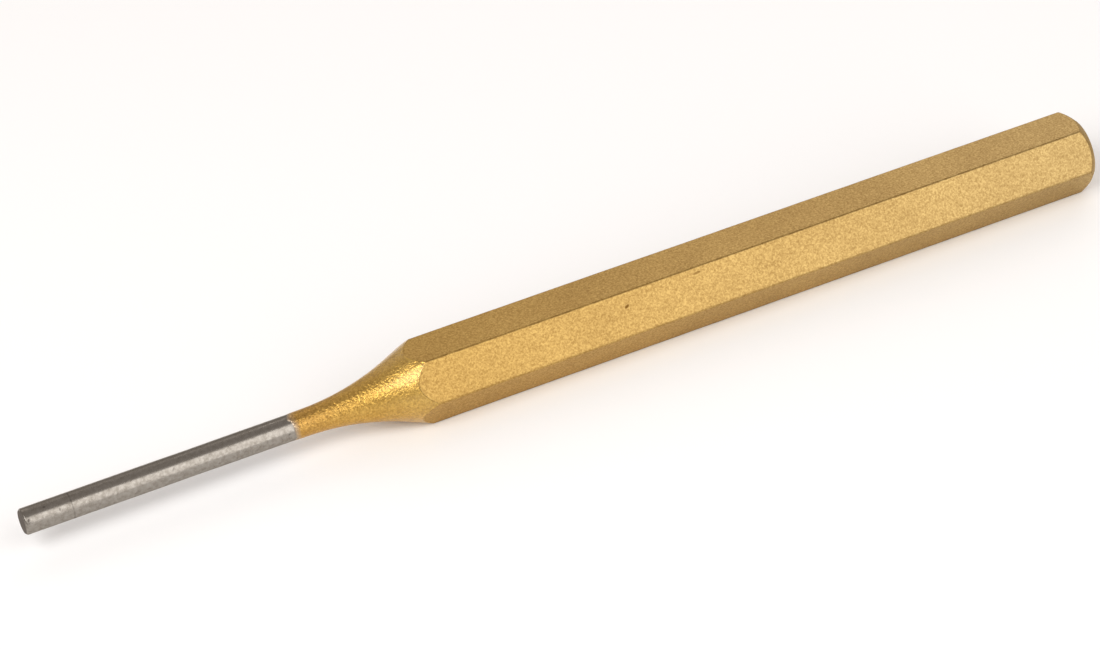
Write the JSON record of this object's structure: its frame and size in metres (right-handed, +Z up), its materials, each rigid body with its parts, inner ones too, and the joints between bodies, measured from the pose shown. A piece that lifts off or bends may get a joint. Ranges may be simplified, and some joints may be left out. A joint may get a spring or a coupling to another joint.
{
  "type": "pin punch",
  "caption": "Pin punch with a slim round ground pin, a flared neck, a chamfered hexagonal shank and a gold lacquer finish.",
  "frame": {"origin": "middle of the pin's flat tip face", "axes": "+X along the punch's axis from the tip to the striking face, +Z up and square to the flat that faces up when the punch lies on the opposite flat, +Y across two opposite ridges"},
  "size_m": [0.15, 0.0112, 0.0098],
  "materials": {
    "bar_steel": "bright drawn, under the lacquer",
    "ground_steel": "cylindrically ground, bare",
    "gold_lacquer": "metallic gold lacquer, satin, finely mottled"
  },
  "bodies": {
    "root": {"hex_shank": "bar_steel", "drive_pin": "ground_steel", "lacquer_coat": "gold_lacquer"}
  },
  "joints": []
}
